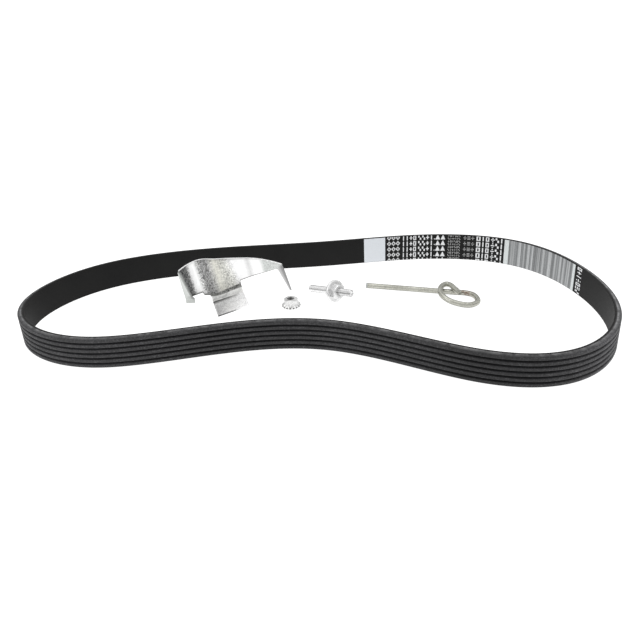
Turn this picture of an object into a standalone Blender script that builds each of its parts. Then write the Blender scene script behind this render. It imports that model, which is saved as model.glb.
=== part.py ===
"""Ribbed belt kit: a six-rib drive belt, its sheet-metal fitting tool, a serrated
flange nut, a collared stud and a bent-wire lock pin, laid out on one flat surface.

Lengths are in millimetres in this file and become metres when a mesh is made.
The origin is on the surface, under the middle of the belt loop. +X runs along the
longer side of the loop, +Y towards its smoother long span, +Z up.
"""
import math

import bmesh
import bpy
import numpy as np
from mathutils import Euler, Matrix, Vector

MM = 0.001
GAP = 0.3                        # clearance between two bonded belt layers

# Belt: standard six-rib section, length taken along the tensile cords
RIB_COUNT = 6
RIB_PITCH = 3.56
BELT_WIDTH = RIB_COUNT * RIB_PITCH
BELT_LENGTH = 1027.0
BELT_THICKNESS = 4.4
RIB_HEIGHT = 2.2
RIB_HALF_ANGLE = math.radians(20)
BACKING_THICKNESS = 0.6
CORD_THICKNESS = 0.4
CORD_LINE = BACKING_THICKNESS + GAP + CORD_THICKNESS / 2
BELT_STATIONS = 80
# Control points of the closed loop that the belt's smooth back follows, seen from above
LOOP_POINTS = (
    (15, -32), (102, -104), (164, -104), (203, -50), (202, 22), (173, 85), (98, 107),
    (10, 93), (-76, 97), (-168, 80), (-210, 17), (-190, -35), (-140, -60), (-76, -45),
)

# Fitting tool: one sheet, in a frame whose origin is the tongue's front left corner
SHEET = 1.2
TOOL_PLACE = (-67.2, 9.2)
TOOL_TILT = (8.0, -10.8, 15.2)   # degrees about X, Y and Z
TONGUE_WIDTH = 24.2
TONGUE_DEPTH = 19.9
TONGUE_STEPS = 6
RISER_JOG = 1.8                  # drop from the wall's crease to the flat riser
WALL_RADIUS = 60.0
WALL_APEX = (20.0, 21.1)
WALL_STEP = 4.0                  # degrees between two stations of the wall
NECK_LEFT = -24.0                # angle where the wall steps down to the tongue's neck
NECK_STEP = 0.4                  # degrees taken by a step in the lower edge
# Both edges as (degrees round the wall, height), from left to right
WALL_TOP_EDGE = (
    (-37.0, 41.0), (-28.0, 41.0), (-19.0, 39.6), (-8.0, 34.4), (6.0, 29.4), (20.0, 25.4),
    (30.0, 21.9), (37.5, 19.2),
)
WALL_LEFT_EDGE = ((-34.2, 16.7), (-29.0, 15.1), (-24.0, 13.7))
WALL_NECK_EDGE = ((-24.0, 11.2), (-19.5, 8.4), (4.0, 6.8))
WALL_RIGHT_EDGE = ((4.0, 10.0), (13.8, 11.4), (24.7, 13.3), (33.0, 15.6))
# Ends of the two legs in the part's own frame, outer and inner side of each
LEFT_FOOT = ((-94.4, 35.4, 0.6), (-87.7, 34.8, 0.6))
LEFT_ANKLE = ((-94.1, 34.2, 4.2), (-87.5, 34.0, 4.2))
RIGHT_TIP = ((-14.2, 50.6, 0.6), (-15.6, 50.2, 0.6))
FOLD_REACH = 1.6
FOLD_STEPS = 3

# Serrated flange nut, M6
NUT_PLACE = (-14.0, 22.0)
NUT_FLANGE_RADIUS = 7.1
NUT_FLANGE_EDGE = 1.0
NUT_ACROSS_FLATS = 10.0
NUT_HEIGHT = 6.0
NUT_BORE_RADIUS = 2.6
ROUND_STEPS = 36

# Collared double-ended stud, M6
THREAD_RADIUS = 3.0              # over the crests
PITCH_RADIUS = 2.7               # halfway up the thread, and the stud's plain shank
THREAD_CHAMFER = 1.0
COLLAR_RADIUS = 8.5
COLLAR_THICKNESS = 2.4
STUD_HEX_ACROSS_FLATS = 10.0
STUD_HEX_HEIGHT = 4.5
STUD_LONG_END = 27.6             # from the collar's far face to the far end
STUD_SHORT_END = 17.5            # from the collar's near face to the near end
STUD_PLACE = (19.1, 25.3)
STUD_YAW = -49.5                 # degrees from +X to the short end

# Lock pin: bent wire, the points run along the wire's centre line from the plain end
WIRE_RADIUS = 2.0
WIRE_OVER = 6.4                  # height of the wire's centre where it crosses itself
PIN_POINTS = (
    (44.2, 47.8, 2.0), (62.0, 42.2, 2.0), (80.0, 36.5, 2.0), (97.0, 31.1, 2.0),
    (109.0, 27.4, 2.0), (116.0, 25.6, 2.0), (121.4, 21.6, 2.0), (123.2, 14.5, 2.0),
    (121.6, 8.0, 2.0), (115.6, 4.2, 2.1), (108.6, 5.6, 2.6), (101.6, 9.2, 4.0),
    (97.4, 15.2, 5.6), (97.2, 22.6, WIRE_OVER), (99.4, 29.2, WIRE_OVER),
    (103.4, 33.2, WIRE_OVER), (106.6, 30.6, WIRE_OVER), (108.4, 24.0, WIRE_OVER),
    (110.2, 16.6, WIRE_OVER),
)
PIN_STEPS = 3


def clear_scene():
    for old in list(bpy.data.objects):
        bpy.data.objects.remove(old, do_unlink=True)


def make_material(name, colour, roughness, metallic):
    material = bpy.data.materials.new(name)
    material.use_nodes = True
    shader = material.node_tree.nodes["Principled BSDF"]
    shader.inputs["Base Color"].default_value = (*colour, 1.0)
    shader.inputs["Roughness"].default_value = roughness
    shader.inputs["Metallic"].default_value = metallic
    material.diffuse_color = (*colour, 1.0)
    return material


def add_object(name, data, material):
    node = bpy.data.objects.new(name, data)
    node.data.materials.append(material)
    bpy.context.scene.collection.objects.link(node)
    return node


def mesh_from(name, points, faces):
    """A mesh in metres from points in millimetres, with its faces turned outwards."""
    mesh = bpy.data.meshes.new(name)
    mesh.from_pydata([Vector(point) * MM for point in points], [], faces)
    work = bmesh.new()
    work.from_mesh(mesh)
    bmesh.ops.recalc_face_normals(work, faces=work.faces)
    work.to_mesh(mesh)
    work.free()
    return mesh


def shade_round(node, angle):
    node.data.shade_smooth()
    node.data.set_sharp_from_angle(angle=math.radians(angle))


def bridge(first, second, count, closed):
    """Four-sided faces between two rows of count points that start at those indices."""
    last = count if closed else count - 1
    return [
        (first + i, first + (i + 1) % count, second + (i + 1) % count, second + i)
        for i in range(last)
    ]


def drop_to_surface(node):
    """Lift or lower an object until its lowest point is on the surface."""
    bpy.context.view_layer.update()
    shape = node.evaluated_get(bpy.context.evaluated_depsgraph_get())
    mesh = shape.to_mesh()
    lowest = min((shape.matrix_world @ vertex.co).z for vertex in mesh.vertices)
    shape.to_mesh_clear()
    node.location.z -= lowest


# ---------------------------------------------------------------- belt

def spline_loop(points, count):
    """Points and outward normals along a closed cubic B-spline."""
    control = np.array(points, dtype=float)
    position = np.linspace(0.0, len(control), count, endpoint=False)
    start = np.floor(position).astype(int)
    u = (position - start)[:, None]
    before, here, after, beyond = (
        control[(start + shift) % len(control)] for shift in (-1, 0, 1, 2)
    )
    place = (
        (1 - u) ** 3 * before
        + (3 * u ** 3 - 6 * u ** 2 + 4) * here
        + (-3 * u ** 3 + 3 * u ** 2 + 3 * u + 1) * after
        + u ** 3 * beyond
    ) / 6
    slope = (
        -(1 - u) ** 2 * before
        + (3 * u ** 2 - 4 * u) * here
        + (-3 * u ** 2 + 2 * u + 1) * after
        + u ** 2 * beyond
    ) / 2
    along = slope / np.linalg.norm(slope, axis=1, keepdims=True)
    outward = np.stack((along[:, 1], -along[:, 0]), axis=1)
    return place, outward


def belt_stations():
    """Evenly spaced stations of the belt's back, sized so that its cords measure right."""
    place, outward = spline_loop(LOOP_POINTS, 4000)
    steps = np.linalg.norm(np.roll(place, -1, axis=0) - place, axis=1)
    back_length = BELT_LENGTH - 2 * math.pi * CORD_LINE
    place *= back_length / steps.sum()
    travelled = np.concatenate(([0.0], np.cumsum(steps)[:-1])) / steps.sum()
    wanted = np.arange(BELT_STATIONS) / BELT_STATIONS
    chosen = np.searchsorted(travelled, wanted)
    return place[chosen], outward[chosen]


def rib_profile():
    """Outline of the ribbed rubber as (distance from the belt's back, height)."""
    inner = BACKING_THICKNESS + CORD_THICKNESS + 2 * GAP
    root = BELT_THICKNESS - RIB_HEIGHT
    flank = RIB_HEIGHT * math.tan(RIB_HALF_ANGLE)
    outline = [(inner, 0.0)]
    for rib in range(RIB_COUNT):
        low = rib * RIB_PITCH
        outline.append((root, low))
        outline.append((BELT_THICKNESS, low + flank))
        outline.append((BELT_THICKNESS, low + RIB_PITCH - flank))
    outline.append((root, BELT_WIDTH))
    outline.append((inner, BELT_WIDTH))
    return outline


def flat_profile(inner, outer):
    return [(inner, 0.0), (outer, 0.0), (outer, BELT_WIDTH), (inner, BELT_WIDTH)]


def sweep_round_belt(name, profile, material):
    place, outward = belt_stations()
    points = []
    for spot, normal in zip(place, outward):
        for distance, height in profile:
            points.append((*(spot + normal * distance), height))
    faces = []
    size = len(profile)
    for station in range(BELT_STATIONS):
        following = (station + 1) % BELT_STATIONS
        faces += bridge(station * size, following * size, size, closed=True)
    node = add_object(name, mesh_from(name, points, faces), material)
    shade_round(node, 15)
    return node


def make_belt():
    rubber = make_material("belt_rubber", (0.030, 0.030, 0.032), 0.62, 0.0)
    backing = make_material("belt_backing", (0.017, 0.017, 0.018), 0.50, 0.0)
    cords = make_material("belt_cords", (0.30, 0.27, 0.20), 0.70, 0.0)
    cord_inner = BACKING_THICKNESS + GAP
    sweep_round_belt("belt_backing", flat_profile(0.0, BACKING_THICKNESS), backing)
    sweep_round_belt("belt_tensile_cords", flat_profile(cord_inner, cord_inner + CORD_THICKNESS), cords)
    sweep_round_belt("belt_ribbed_rubber", rib_profile(), rubber)


# ---------------------------------------------------------------- fitting tool

def smooth_value(knots, where):
    """A smooth curve through a few (position, value) knots."""
    positions = [knot[0] for knot in knots]
    values = [knot[1] for knot in knots]
    slopes = np.gradient(values, positions)
    right = min(max(int(np.searchsorted(positions, where)), 1), len(knots) - 1)
    left = right - 1
    width = positions[right] - positions[left]
    u = (where - positions[left]) / width
    return (
        (2 * u ** 3 - 3 * u ** 2 + 1) * values[left]
        + (u ** 3 - 2 * u ** 2 + u) * width * slopes[left]
        + (-2 * u ** 3 + 3 * u ** 2) * values[right]
        + (u ** 3 - u ** 2) * width * slopes[right]
    )


def wall_point(angle, height):
    turn = math.radians(angle)
    return Vector((
        WALL_APEX[0] + WALL_RADIUS * math.sin(turn),
        WALL_APEX[1] - WALL_RADIUS * (1 - math.cos(turn)),
        height,
    ))


def wall_angle(across):
    """Angle round the wall above a point that far across the tongue."""
    return math.degrees(math.asin((across - WALL_APEX[0]) / WALL_RADIUS))


def rounded_fold(before, corner, after):
    """Points that round off a fold between two straight stretches."""
    start = corner + (before - corner).normalized() * FOLD_REACH
    end = corner + (after - corner).normalized() * FOLD_REACH
    curve = []
    for step in range(FOLD_STEPS + 1):
        u = step / FOLD_STEPS
        curve.append((1 - u) ** 2 * start + 2 * u * (1 - u) * corner + u ** 2 * end)
    return curve


def wall_row(angles, heights):
    return [wall_point(angle, height) for angle, height in zip(angles, heights)]


def even_steps(start, end):
    """Angles from start up to but not including end."""
    return list(np.linspace(start, end, round(abs(end - start) / WALL_STEP), endpoint=False))


def wall_rows(tongue):
    """The wall's top and lower rows of points; tongue holds the angles above the tongue."""
    left_low = even_steps(WALL_LEFT_EDGE[0][0], NECK_LEFT)
    left_top = list(np.linspace(WALL_TOP_EDGE[0][0], NECK_LEFT, len(left_low), endpoint=False))
    neck = [NECK_LEFT + NECK_STEP, *even_steps(NECK_LEFT + NECK_STEP, tongue[0])[1:], *tongue]
    right_start = tongue[-1] + NECK_STEP
    right_low = even_steps(WALL_RIGHT_EDGE[-1][0], right_start)[::-1]
    right_top = list(np.linspace(WALL_TOP_EDGE[-1][0], right_start, len(right_low), endpoint=False))[::-1]
    low = (
        wall_row(left_low, [smooth_value(WALL_LEFT_EDGE, angle) for angle in left_low])
        + wall_row([NECK_LEFT], [WALL_LEFT_EDGE[-1][1]])
        + wall_row(neck, [smooth_value(WALL_NECK_EDGE, angle) for angle in neck])
        + wall_row([right_start], [WALL_RIGHT_EDGE[0][1]])
        + wall_row(right_low, [smooth_value(WALL_RIGHT_EDGE, angle) for angle in right_low])
    )
    top_angles = [*left_top, NECK_LEFT, *neck, right_start, *right_top]
    top = wall_row(top_angles, [smooth_value(WALL_TOP_EDGE, angle) for angle in top_angles])
    return top, low, len(left_low) + 1 + len(neck) - len(tongue)


def folded_edge(left_end, wall, right_end):
    """One edge of the sheet: left leg, fold, wall, fold, right leg."""
    left_fold = rounded_fold(left_end[-1], wall[0], wall[1])
    right_fold = rounded_fold(wall[-2], wall[-1], right_end)
    return [*left_end, *left_fold, *wall[1:-1], *right_fold, right_end]


def tongue_column(crease):
    """The tongue's section under one point of the wall's crease."""
    riser = Vector((crease.x, TONGUE_DEPTH, crease.z - RISER_JOG))
    heel = Vector((crease.x, TONGUE_DEPTH, 0.0))
    front = Vector((crease.x, 0.0, 0.0))
    return [riser, *rounded_fold(riser, heel, front), front]


def make_fitting_tool():
    zinc = make_material("zinc_sheet", (0.62, 0.63, 0.60), 0.30, 1.0)
    turn = Euler([math.radians(angle) for angle in TOOL_TILT]).to_matrix()
    corner = Vector((*TOOL_PLACE, SHEET / 2))

    def in_tool_frame(spot):
        return turn.transposed() @ (Vector(spot) - corner)

    tongue = [wall_angle(TONGUE_WIDTH * i / TONGUE_STEPS) for i in range(TONGUE_STEPS + 1)]
    top_wall, low_wall, tongue_start = wall_rows(tongue)
    edges = []
    for side, wall in enumerate((top_wall, low_wall)):
        foot = [in_tool_frame(LEFT_FOOT[side]), in_tool_frame(LEFT_ANKLE[side])]
        edges.append(folded_edge(foot, wall, in_tool_frame(RIGHT_TIP[side])))
    top, low = edges

    points = [*top, *low]
    faces = bridge(0, len(top), len(top), closed=False)
    # The foot, the ankle and the fold stand before the wall's second point
    first = len(top) + 2 + FOLD_STEPS + tongue_start
    previous = list(range(first, first + len(tongue)))
    columns = [tongue_column(points[index]) for index in previous]
    for row in zip(*columns):
        current = list(range(len(points), len(points) + len(row)))
        points += row
        for i in range(len(row) - 1):
            faces.append((previous[i], previous[i + 1], current[i + 1], current[i]))
        previous = current

    node = add_object("fitting_tool", mesh_from("fitting_tool", points, faces), zinc)
    node.location = corner * MM
    node.rotation_euler = [math.radians(angle) for angle in TOOL_TILT]
    solid = node.modifiers.new("sheet_thickness", "SOLIDIFY")
    solid.thickness = SHEET * MM
    solid.offset = 0.0
    solid.use_even_offset = True
    drop_to_surface(node)
    shade_round(node, 30)


# ---------------------------------------------------------------- nut and stud

def round_ring(radius, height):
    turns = [2 * math.pi * i / ROUND_STEPS for i in range(ROUND_STEPS)]
    return [(radius * math.cos(turn), radius * math.sin(turn), height) for turn in turns]


def hex_ring(across_flats, height, largest):
    """A hexagon with its corners turned down to the largest radius."""
    ring = []
    for i in range(ROUND_STEPS):
        turn = 2 * math.pi * i / ROUND_STEPS
        off_flat = (turn + math.pi / 6) % (math.pi / 3) - math.pi / 6
        radius = min(across_flats / 2 / math.cos(off_flat), largest)
        ring.append((radius * math.cos(turn), radius * math.sin(turn), height))
    return ring


def stack_rings(name, rings, bored):
    """A solid through rings of equal size: bored ones close on their first ring."""
    points = [point for ring in rings for point in ring]
    faces = []
    for i in range(len(rings) - 1):
        faces += bridge(i * ROUND_STEPS, (i + 1) * ROUND_STEPS, ROUND_STEPS, closed=True)
    last = (len(rings) - 1) * ROUND_STEPS
    if bored:
        faces += bridge(last, 0, ROUND_STEPS, closed=True)
    else:
        faces.append(tuple(range(ROUND_STEPS)))
        faces.append(tuple(range(last, last + ROUND_STEPS)))
    return mesh_from(name, points, faces)


def make_flange_nut():
    steel = make_material("nut_zinc", (0.66, 0.67, 0.68), 0.28, 1.0)
    corner = NUT_ACROSS_FLATS / 2 / math.cos(math.pi / 6)
    rings = [
        round_ring(NUT_FLANGE_RADIUS, 0.0),
        round_ring(NUT_FLANGE_RADIUS, NUT_FLANGE_EDGE),
        hex_ring(NUT_ACROSS_FLATS, NUT_FLANGE_EDGE + 1.0, corner),
        hex_ring(NUT_ACROSS_FLATS, NUT_HEIGHT - 0.6, corner),
        round_ring(NUT_ACROSS_FLATS / 2 - 0.2, NUT_HEIGHT),
        round_ring(THREAD_RADIUS + 0.2, NUT_HEIGHT),
        round_ring(NUT_BORE_RADIUS, NUT_HEIGHT - 0.6),
        round_ring(NUT_BORE_RADIUS, 0.6),
        round_ring(THREAD_RADIUS + 0.2, 0.0),
    ]
    node = add_object("flange_nut", stack_rings("flange_nut", rings, bored=True), steel)
    node.location = (NUT_PLACE[0] * MM, NUT_PLACE[1] * MM, 0.0)
    shade_round(node, 25)


def make_collar_stud():
    """The stud lies on its collar's rim and on the shoulder of its long end's chamfer."""
    steel = make_material("stud_zinc", (0.66, 0.67, 0.68), 0.25, 1.0)
    half = COLLAR_THICKNESS / 2
    tip_radius = PITCH_RADIUS - THREAD_CHAMFER
    hex_top = half + STUD_HEX_HEIGHT
    corner = STUD_HEX_ACROSS_FLATS / 2 / math.cos(math.pi / 6)
    rings = [
        round_ring(tip_radius, -half - STUD_LONG_END),
        round_ring(PITCH_RADIUS, -half - STUD_LONG_END + THREAD_CHAMFER),
        round_ring(PITCH_RADIUS, -half),
        round_ring(COLLAR_RADIUS, -half),
        round_ring(COLLAR_RADIUS, half - 0.5),
        round_ring(COLLAR_RADIUS - 0.5, half),
        hex_ring(STUD_HEX_ACROSS_FLATS, half + 0.1, corner),
        hex_ring(STUD_HEX_ACROSS_FLATS, hex_top - 0.6, corner),
        round_ring(STUD_HEX_ACROSS_FLATS / 2 - 0.2, hex_top),
        round_ring(PITCH_RADIUS, hex_top),
        round_ring(PITCH_RADIUS, half + STUD_SHORT_END - THREAD_CHAMFER),
        round_ring(tip_radius, half + STUD_SHORT_END),
    ]
    node = add_object("collar_stud", stack_rings("collar_stud", rings, bored=False), steel)
    rise = math.atan2(COLLAR_RADIUS - PITCH_RADIUS, STUD_LONG_END - THREAD_CHAMFER)
    yaw = math.radians(STUD_YAW)
    along = Vector((math.cos(yaw) * math.cos(rise), math.sin(yaw) * math.cos(rise), math.sin(rise)))
    place = Vector((STUD_PLACE[0], STUD_PLACE[1], COLLAR_RADIUS)) * MM
    node.matrix_world = Matrix.Translation(place) @ along.to_track_quat("Z", "Y").to_matrix().to_4x4()
    drop_to_surface(node)
    shade_round(node, 25)


# ---------------------------------------------------------------- lock pin

def smooth_path(points, steps):
    """Extra points on a Catmull-Rom curve through the given ones."""
    corners = [Vector(point) for point in points]
    corners = [2 * corners[0] - corners[1], *corners, 2 * corners[-1] - corners[-2]]
    path = []
    for i in range(1, len(corners) - 2):
        before, here, after, beyond = corners[i - 1:i + 3]
        for step in range(steps):
            u = step / steps
            path.append(0.5 * (
                2 * here
                + (after - before) * u
                + (2 * before - 5 * here + 4 * after - beyond) * u ** 2
                + (3 * here - before - 3 * after + beyond) * u ** 3
            ))
    path.append(corners[-2])
    return path


def make_lock_pin():
    wire = make_material("pin_wire", (0.42, 0.42, 0.36), 0.38, 1.0)
    path = smooth_path(PIN_POINTS, PIN_STEPS)
    curve = bpy.data.curves.new("lock_pin", "CURVE")
    curve.dimensions = "3D"
    curve.bevel_depth = WIRE_RADIUS * MM
    curve.bevel_resolution = 2
    curve.use_fill_caps = True
    spline = curve.splines.new("POLY")
    spline.points.add(len(path) - 1)
    for point, place in zip(spline.points, path):
        point.co = (*(place * MM), 1.0)
    add_object("lock_pin", curve, wire)


def main():
    clear_scene()
    make_belt()
    make_fitting_tool()
    make_flange_nut()
    make_collar_stud()
    make_lock_pin()


main()
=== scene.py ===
"""Looks of the ribbed belt kit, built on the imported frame.

The belt stands on its edge as a closed loop, ribs outwards, with its printed back inwards.
Inside it lie a sheet-metal fitting tool, a serrated flange nut, a collared stud and a
bent-wire lock pin. Shapes are worked out in millimetres and become metres in add_piece.
"""
import math

import bmesh
import bpy
import numpy as np
from mathutils import Euler, Matrix, Vector


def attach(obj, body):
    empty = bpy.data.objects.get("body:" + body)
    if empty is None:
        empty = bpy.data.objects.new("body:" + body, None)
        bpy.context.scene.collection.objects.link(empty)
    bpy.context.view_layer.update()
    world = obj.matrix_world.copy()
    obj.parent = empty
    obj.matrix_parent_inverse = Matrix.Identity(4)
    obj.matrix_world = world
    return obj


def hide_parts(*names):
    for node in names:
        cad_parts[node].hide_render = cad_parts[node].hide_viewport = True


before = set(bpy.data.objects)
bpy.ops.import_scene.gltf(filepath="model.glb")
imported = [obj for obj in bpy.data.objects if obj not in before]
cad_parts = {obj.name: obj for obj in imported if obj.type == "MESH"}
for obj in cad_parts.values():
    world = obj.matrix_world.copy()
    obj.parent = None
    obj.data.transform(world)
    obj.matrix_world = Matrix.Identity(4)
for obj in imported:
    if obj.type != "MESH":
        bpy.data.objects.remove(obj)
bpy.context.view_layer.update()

MM = 0.001

# Camera: place and target in millimetres
CAMERA_PLACE = (6.89, -440.16, 221.39)
CAMERA_TARGET = (6.89, -3.85, 0.0)
CAMERA_ROLL = math.radians(2.82)
CAMERA_LENS = 38.59

TABLE_TOP = -0.0001               # metres, just under the lowest points
TABLE_REACH = 60.0               # metres each way, so that its far edge is never in view

# Belt
RIB_COUNT = 6
RIB_PITCH = 3.56
BELT_WIDTH = RIB_COUNT * RIB_PITCH
BELT_LENGTH = 1027.0             # along the tensile cords
BELT_THICKNESS = 4.4
RIB_HEIGHT = 2.2
RIB_ROOT = BELT_THICKNESS - RIB_HEIGHT
RIB_HALF_ANGLE = math.radians(20)
CORD_LINE = 1.1
BACKING_THICKNESS = 0.85
CORD_THICKNESS = 0.45
CORD_RECESS = 0.15
BELT_STATIONS = 640
LOOP_POINTS = (
    (15, -32), (102, -104), (164, -104), (203, -50), (202, 22), (173, 85), (98, 107),
    (10, 93), (-76, 97), (-168, 80), (-210, 17), (-190, -35), (-140, -60), (-76, -45),
)

# Painted light and shade on the ribs along the belt, as (distance along the back, factor): painted shade
# round 95, a painted sheen from 170 to 230
RIB_PAINTED_LIGHT = (
    (0, 1.0), (60, 0.85), (95, 0.55), (130, 0.7), (170, 1.7), (230, 1.8), (400, 1.0),
    (900, 1.0), (940, 0.7), (1010, 0.8),
)
# How strongly the pale cut top edge shows along the belt, as (distance, factor): a painted highlight,
# brightest from 205 to 270
EDGE_PAINTED_HIGHLIGHT = ((120, 0.6), (190, 0.7), (205, 1.0), (270, 1.0), (300, 0.7), (340, 0.6))

# Printing on the belt's back, as distances along the back from the loop's first station
PRINT_LIFT = 0.03
PRINT_STEP = 1.5
PRINT_MARGIN = 0.25              # kept free at both edges of the belt
THINNEST_MARK = 0.05
LABEL_BLOCK = (480.7, 462.8)
ROW_TOP = 20.3
ROW_PITCH = 5.0
ROW_COUNT = 5
GLYPH_DROP = 0.9
MARK_HEIGHT = 4.0
SIGN_SEED = 11
GLYPH_WIDTH = 2.35
GLYPH_GAP = 0.75
DIAMOND_MARKS = (461.3, 450.2)
DIAMOND_COUNT = 3
DIAMOND_STEP = 0.60
DIAMOND_STROKE = 0.85
GLYPH_GROUPS = (
    (448.5, 436.7), (435.0, 422.7), (387.1, 383.8), (383.0, 376.7), (375.2, 365.0),
)
WEDGE_MARKS = (420.6, 412.7)
WEDGE_STEPS = 5
DOT_MARK = 421.5
DOT_HALF = 0.35                  # half the dot, and half the gap between the wedges
FINE_GROUP = (410.4, 400.3)
FINE_PITCH = 2.5
FINE_SIGN = (1.25, FINE_PITCH * 0.68, 0.45)         # width, height and gap
MIDDLE_GROUP = (397.7, 388.9)
MIDDLE_SIGN = (2.0, MARK_HEIGHT * 0.72, 0.8)
BAR_FIELD = (363.9, 293.0)
BAR_SEED = 5
BAR_WIDTHS = (1.2, 3.6)
BAR_GAPS = (1.6, 3.8)
LEFT_BAND = 3.7
RIGHT_BAND = 3.0
COLUMN_MARKS = (290.3, 284.6)
COLUMN_PITCH = 3.0
COLUMN_COUNT = 7
COLUMN_TOP = BELT_WIDTH - 2.6
# Plain signs as blocks of a unit cell: (left, right, low, high)
GLYPHS = (
    ((0.32, 0.66, 0.0, 1.0),),
    ((0.0, 1.0, 0.0, 0.19), (0.0, 1.0, 0.40, 0.60), (0.0, 1.0, 0.81, 1.0)),
    ((0.0, 1.0, 0.0, 0.19), (0.0, 1.0, 0.81, 1.0), (0.0, 0.32, 0.19, 0.81), (0.68, 1.0, 0.19, 0.81)),
    ((0.0, 0.48, 0.52, 1.0), (0.52, 1.0, 0.0, 0.48)),
    ((0.34, 0.66, 0.08, 0.92), (0.0, 1.0, 0.40, 0.60)),
    ((0.0, 1.0, 0.40, 0.60), (0.32, 0.68, 0.0, 0.20), (0.32, 0.68, 0.80, 1.0)),
)

# Fitting tool, in a frame whose origin is the tongue's front left corner
SHEET = 1.2
EDGE_ROUNDING = 0.12
TOOL_PLACE = (-67.2, 9.2)
TOOL_TILT = (8.0, -10.8, 15.2)
TONGUE_WIDTH = 24.2
TONGUE_DEPTH = 19.9
TONGUE_STEPS = 24
TONGUE_ROWS = 10
RISER_JOG = 1.8
WALL_RADIUS = 60.0
WALL_APEX = (20.0, 21.1)
WALL_STEP = 1.0
WALL_ROWS = 12
NECK_LEFT = -24.0
NECK_STEP = 0.25
WALL_TOP_EDGE = (
    (-37.0, 41.0), (-28.0, 41.0), (-19.0, 39.6), (-8.0, 34.4), (6.0, 29.4), (20.0, 25.4),
    (30.0, 21.9), (37.5, 19.2),
)
WALL_LEFT_EDGE = ((-34.2, 16.7), (-29.0, 15.1), (-24.0, 13.7))
WALL_NECK_EDGE = ((-24.0, 11.2), (-19.5, 8.4), (4.0, 6.8))
WALL_RIGHT_EDGE = ((4.0, 10.0), (13.8, 11.4), (24.7, 13.3), (33.0, 15.6))
LEFT_FOOT = ((-94.4, 35.4, 0.6), (-87.7, 34.8, 0.6))
LEFT_ANKLE = ((-94.1, 34.2, 4.2), (-87.5, 34.0, 4.2))
RIGHT_TIP = ((-14.2, 50.6, 0.6), (-15.6, 50.2, 0.6))
FOLD_REACH = 1.6
FOLD_STEPS = 5
LEG_STEPS = 8
# The legs are drawn as if the wall's angle ran on over both folds
FOLD_TURN = 52.0
LEG_TURN = 60.0
# Levels tell the sheet's stretches apart: 0 is the wall, and the tongue runs on from its crease
CREASE_LEVEL, MID_RISER_LEVEL, HEEL_LEVEL, TONGUE_LEVEL, FRONT_LEVEL = 1.0, 1.5, 2.0, 2.4, 3.0

# Painted reflections on the zinc, in tones from 0 black to 255 white, as (wall angle, tone): upright light
# and dark bands run over the wall
WALL_REFLECTION_TONES = (
    (-34, 90), (-31, 105), (-28, 230), (-25, 250), (-20, 150), (-16, 150), (-10, 220),
    (-5, 200), (2, 250), (10, 250), (13, 220), (16, 250), (21, 250), (24, 205), (30, 205),
)
BAND_ENDS = (-36.0, 34.0)
# How much of the grain shows in each painted reflection band, and how those bands are tinted
BAND_GRAIN = (
    (-30, 1.0), (-28, 0.05), (-24, 0.05), (-22, 0.9), (-15, 0.8), (-10, 0.15), (-5, 0.55),
    (-1, 0.45), (3, 0.05), (22, 0.05), (25, 0.25),
)
REFLECTION_TINT = (
    (-36, (1.0, 1.0, 1.0)), (-15, (1.0, 1.0, 0.99)), (-10, (1.0, 0.99, 0.90)), (-4, (1.0, 1.0, 0.94)),
    (1, (1.0, 1.0, 1.0)), (21, (1.0, 1.0, 1.0)), (24, (0.965, 1.0, 0.975)), (33, (0.975, 1.0, 0.98)),
)
FAN_SHIFT = 4.0                  # degrees the middle boundary moves from the wall's top to its foot
# Painted light and shade, as (place across, tone): the tongue greyer at its left and white at its right, the
# front edge dark at its left and white to the right, the right leg shaded along its right side
TONGUE_TONES = ((0.0, 210), (0.2, 235), (0.5, 245), (0.8, 255))
FRONT_EDGE_TONES = ((0.0, 90), (0.45, 122), (0.6, 200), (0.7, 250), (1.0, 252))
RIGHT_LEG_TONES = ((0.0, 138), (0.35, 148), (0.65, 182), (1.0, 200))
LEFT_LEG_TONE = 193

TURNED_SHARP = 28.0              # edges of the nut and the stud sharper than this stay crisp

# Flange nut
NUT_PLACE = (-14.0, 22.0)
FLANGE_RADIUS = 7.1
FLANGE_TEETH = 17
TOOTH_DEPTH = 0.5
NUT_ACROSS_FLATS = 10.0
NUT_HEIGHT = 6.0
NUT_CORNER = 5.62                # radius at its rounded corners
# Painted shade in the nut's hollows
THREAD_SHADE = 0.55              # how dark the hole's thread and the flange's notches are
NOTCH_SHADE = 0.95
CONE_LOW = 1.4                   # where the flange's cone starts
CONE_RISE = 1.3
THREAD_RADIUS = 3.0
THREAD_PITCH = 1.0
THREAD_DEPTH = 0.5

# Collared stud
COLLAR_RADIUS = 8.5
COLLAR_THICKNESS = 2.4
HEX_ACROSS_FLATS = 10.0
HEX_HEIGHT = 4.5
LONG_END = 27.6
SHORT_END = 17.5
SHANK_RADIUS = 2.7
NECK_RADIUS = SHANK_RADIUS - 0.2
TIP_CHAMFER = 1.0
STUD_PLACE = (19.1, 25.3)
STUD_YAW = -49.5
# Width of the painted reflection streaks on the stud's round ends
REFLECTION_STREAK_WIDTH = 0.13              # of its radius
DIMPLE_RADIUS = 0.9
DIMPLE_DEPTH = 0.25

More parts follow.
